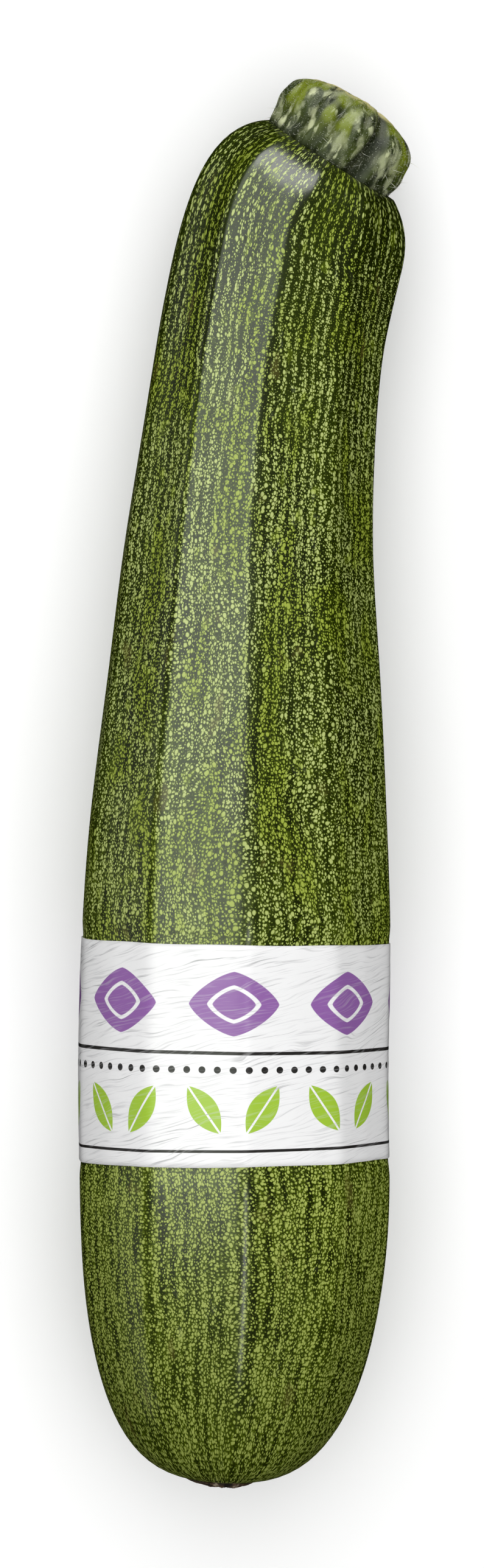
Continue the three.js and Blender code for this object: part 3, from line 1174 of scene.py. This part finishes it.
@dataclass
class Band:
    """A printed film sleeve, shrunk onto the fruit, its ends lapped and welded underneath."""

    fruit: Fruit
    film: float = 0.16
    gap: float = 0.04
    lap: float = 9.0
    lap_radius: float = 26.0
    lap_step: float = 0.02
    columns: int = 288

    def build(self) -> bpy.types.Object:
        """Make the band's mesh, outside and then back inside.

        The film bridges the facets a little between the ridges, and its edges waver by a tenth of a millimetre.

        Returns:
            The band, with a value, along_mm, counted from its middle towards the stalk.
        """
        low, high = self.fruit.band_span
        angle = full_turn(self.columns, -np.pi)
        along = np.linspace(0, 1, 40)
        start = low + 0.08 * np.sin(2 * angle + 1) + 0.05 * np.sin(7 * angle)
        end = high + 0.08 * np.sin(2 * angle) + 0.05 * np.sin(9 * angle + 2)
        distance = start + along[:, None] * (end - start)
        bridge = 0.12 * self.fruit.ridge_share(distance, angle) ** 2
        ruffle = 0.04 * np.sin(distance * 1.3 + 11 * angle) * np.sin(3 * angle + 1)
        lap_start = np.pi - self.lap / self.lap_radius
        lapped = self.film * smoothstep(np.abs(angle), lap_start, lap_start + self.lap_step)
        inner = self.fruit.radius(distance, angle) + self.gap + bridge + ruffle * 0.5
        outer = inner + self.film + lapped
        radius = np.concatenate([outer, inner[::-1]])
        rows = np.concatenate([distance, distance[::-1]])
        ring = np.broadcast_to(angle, rows.shape).reshape(-1, 1)
        placed = self.fruit.line.sections(rows.ravel()).around(ring, radius.reshape(-1, 1))
        points = placed.reshape(*rows.shape, 3)
        layer = np.concatenate([np.zeros(len(along)), np.full(len(along), self.film)])
        points[..., 2] = np.maximum(points[..., 2], layer[:, None])
        return Grid(points, {"along_mm": rows - (low + high) / 2}, sleeve=True).to_object("film_band")


@dataclass(frozen=True)
class FilmFinish:
    """White film with a printed limewashed grain, and a frieze of lozenges, dots and leaves."""

    white: Colour = linear(243, 243, 243)
    grey: Colour = linear(160, 160, 162)
    violet: Colour = linear(144, 96, 166)
    lime: Colour = linear(160, 198, 52)
    black: Colour = linear(34, 32, 30)
    girth: float = 160.8
    repeats: int = 8
    beads: int = 8
    grain_lean: float = math.radians(12)
    lozenge_height: float = 8.6
    lozenge_half: Span = (7.4, 5.2)
    bead_height: float = -2.2
    rule_heights: Span = (0.6, -15.2)
    leaf_middle: Span = (4.7, -8.6)
    leaf_half: Span = (2.3, 4.7)
    leaf_turn: Span = (0.82, 0.57)

    def material(self) -> bpy.types.Material:
        """Draw the film: first the grain, then each ink where its motif is.

        Returns:
            The material.
        """
        book = NodeBook("band_film", Roughness=0.34, IOR=1.45)
        around, along = book.around(self.girth), book.attribute("along_mm")
        grain = self._grain(around, along)
        colour = grain.mix(self.white, self.grey)
        for ink, mask in self._frieze(around, along):
            colour = (mask * (1 - grain * 0.55)).mix(colour, ink)
        crinkle = book.place().noise((3.0, 1.2, 3.0))
        return book.finished(Base_Color=colour, Normal=crinkle.bump(0.06))

    def _grain(self, around: Wire, along: Wire) -> Wire:
        """Limewashed wood: streaks that rise to the right and part round a few knots.

        Args:
            around: Millimetres round the fruit.
            along: Millimetres along it.

        Returns:
            How grey the print is.
        """
        cosine, sine = math.cos(self.grain_lean), math.sin(self.grain_lean)
        with_grain = around * cosine + along * sine
        across_grain = along * cosine - around * sine
        flat = with_grain.by(across_grain)
        knot = flat.cells((38.0, 17.0, 1.0))
        parted = across_grain + knot.eased(0.22, 0.0) * 2.4 + (flat.noise((17, 6, 1)) - 0.5) * 5
        board = with_grain.by(parted)
        fine = board.noise((9.0, 0.32, 1.0), 3.0, 0.6).eased(0.5, 0.7)
        broad = board.noise((22.0, 1.7, 1.0)).eased(0.5, 0.68)
        ring = knot.eased(0.1, 0.07) * knot.eased(0.03, 0.055)
        return (fine * (0.4 + broad * 0.6)).at_least(ring * 0.7)

    def _frieze(self, around: Wire, along: Wire) -> list[tuple[Colour, Wire]]:
        """The printed motifs: lozenges, two rules, a row of dots and pairs of leaves.

        A lozenge is where (across/half)^1.35 + (height/half)^1.35 is below 1, and a leaf where its share across and
        the square of its share along add up to less than 1, both counted on axes that lean outwards.

        Args:
            around: Millimetres round the fruit.
            along: Millimetres from the band's middle.

        Returns:
            Each ink with where it prints, 0 to 1.
        """
        repeat = self.girth / self.repeats
        across = around.repeated(repeat)
        height = abs(along - self.lozenge_height)
        half_width, half_height = self.lozenge_half
        lozenge = (abs(across) / half_width) ** 1.35 + (height / half_height) ** 1.35
        ring = lozenge.eased(0.34, 0.37) * lozenge.eased(0.5, 0.47)
        violet = lozenge.eased(1.0, 0.97) * (1 - ring)

        dot = around.repeated(repeat / self.beads) ** 2 + (along - self.bead_height) ** 2
        upper, lower = self.rule_heights
        black = dot.eased(0.36, 0.28).at_least(abs(along - upper).eased(0.32, 0.26))
        black = black.at_least(abs(along - lower).eased(0.26, 0.2))

        side, rise = abs(across) - self.leaf_middle[0], along - self.leaf_middle[1]
        cosine, sine = self.leaf_turn
        upward, outward = rise * cosine + side * sine, abs(side * cosine - rise * sine)
        leaf_width, leaf_length = self.leaf_half
        almond = outward / leaf_width + (upward / leaf_length) ** 2
        lime = almond.eased(1.0, 0.96) * outward.eased(0.14, 0.2)
        return [(self.violet, violet), (self.black, black), (self.lime, lime)]


# Studio


@dataclass(frozen=True)
class Softbox:
    """A rectangular lamp that faces the middle of the fruit.

    Attributes:
        name: The light's name.
        heading: Where it stands round the fruit, in degrees from +Y towards +X.
        height: Its height angle above the floor, in degrees.
        away: Metres from the fruit.
        size: Metres across, which is level, and up.
        glow: How bright its face is, with 1 for a white wall in full light.
        slide: Metres that it is moved along +Y.
        colour: The colour of its light.
        shines: Whether it shows in the gloss.
        lights: Whether it lights dull surfaces.
        aim: Metres above the floor that it faces.
    """

    name: str
    heading: float
    height: float
    away: float
    size: tuple[float, float]
    glow: float
    slide: float = 0.0
    colour: Colour = (1.0, 1.0, 1.0)
    shines: bool = True
    lights: bool = True
    aim: float = 0.025

    def build(self) -> None:
        """Make the lamp. Its power is π times its glow times its area."""
        lamp = bpy.data.lights.new(self.name, "AREA")
        lamp.shape = "RECTANGLE"
        lamp.color = self.colour
        lamp.size, lamp.size_y = self.size
        lamp.energy = math.pi * self.glow * self.size[0] * self.size[1]
        holder = put_in_scene(self.name, lamp)
        towards = Vector(facing(math.radians(self.heading), math.radians(self.height)))
        holder.location = towards * self.away + Vector((0, self.slide, self.aim))
        holder.rotation_euler = towards.to_track_quat("Z", "Y").to_euler()
        holder.visible_glossy = self.shines
        holder.visible_diffuse = self.lights


@dataclass
class Studio:
    """A pale floor, soft lamps, a dim even sky, and the camera straight above."""

    line: MiddleLine
    sky: float = 0.35
    camera_height: float = 740.6
    lens: float = 100.0
    sensor: float = 36.0
    lamps: tuple[Softbox, ...] = (
        Softbox("key_strip", -90, 60, 0.8, (1.4, 0.4), 3.5, 0.5, (0.93, 1.0, 0.88), lights=False),
        Softbox("shoulder_key", 6, 32, 0.8, (0.7, 0.4), 9.0, lights=False),
        Softbox("top_fill", 90, 88, 0.9, (1.6, 0.9), 2.0, shines=False),
        Softbox("ridge_strip", 90, 81, 0.85, (0.6, 0.12), 9.0, -0.38, lights=False),
        Softbox("left_card", -90, 4, 0.2, (0.5, 0.08), 0.5, lights=False),
        Softbox("shoulder_card", -20, 22, 0.9, (0.9, 0.35), 1.4, shines=False),
    )

    def build(self) -> None:
        """Set the floor, the sky, the lamps and the camera."""
        self._floor()
        world = bpy.data.worlds.new("studio_sky")
        world.use_nodes = True
        background = world.node_tree.nodes["Background"].inputs
        background["Color"].default_value, background["Strength"].default_value = (1.0,) * 4, self.sky
        bpy.context.scene.world = world
        world.cycles_visibility.glossy = False
        for lamp in self.lamps:
            lamp.build()
        self._camera()
        bpy.context.scene.view_settings.view_transform = "Standard"

    def _floor(self) -> None:
        """A wide white floor, with the faintest mottling."""
        mesh = bpy.data.meshes.new("floor")
        corners = [(-2, -2, 0), (2, -2, 0), (2, 2, 0), (-2, 2, 0)]
        mesh.from_pydata(corners, [], [(0, 1, 2, 3)])
        floor = put_in_scene("floor", mesh)
        book = NodeBook("floor_paint", Roughness=0.9, Emission_Strength=0.1)
        mottle = book.place().noise((60.0,) * 3)
        mesh.materials.append(book.finished(Base_Color=mottle.mix((0.93, 0.93, 0.93), (0.96, 0.96, 0.955))))
        floor.visible_glossy = False
        floor.visible_diffuse = False

    def _camera(self) -> None:
        """The camera looks straight down, so that the tall picture takes in 257.6 mm at mid-height of the fruit."""
        camera = bpy.data.cameras.new("camera")
        camera.lens, camera.sensor_width, camera.sensor_fit = self.lens, self.sensor, "AUTO"
        holder = put_in_scene("camera", camera)
        shift_x, shift_y = self.line.origin
        holder.location = (-shift_x * MM, -shift_y * MM, self.camera_height * MM)
        bpy.context.scene.camera = holder


def main() -> None:
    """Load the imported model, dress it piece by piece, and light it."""
    logging.basicConfig(level=logging.INFO, format="%(message)s")
    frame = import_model()
    log.info("nodes to dress: %s", ", ".join(sorted(frame["nodes"])))

    line = MiddleLine()
    fruit = Fruit(line)
    stalk = Stalk(line)
    settle_piece(fruit.build(), SkinFinish().material(), Slot.SKIN, "fruit")
    settle_piece(stalk.build(), StalkFinish().material(), Slot.STALK, "stalk")
    bristle = BristleFinish().material()
    for coat in (
        Bristles(stalk, "fine_bristles", 2600, (0.12, 0.42), 0.05, 3, 0.15, seed=3),
        Bristles(stalk, "long_bristles", 44, (0.9, 2.4), 0.09, 6, 0.45, seed=8, reach=(0.0, 0.6)),
    ):
        settle_piece(coat.build(), bristle, Slot.STALK)
    settle_piece(BlossomScar(line).build(), CrustFinish().material(), Slot.CRUST, "blossom_scar")
    settle_piece(Band(fruit).build(), FilmFinish().material(), Slot.FILM, "band")

    Studio(line).build()


if __name__ == "__main__":
    main()
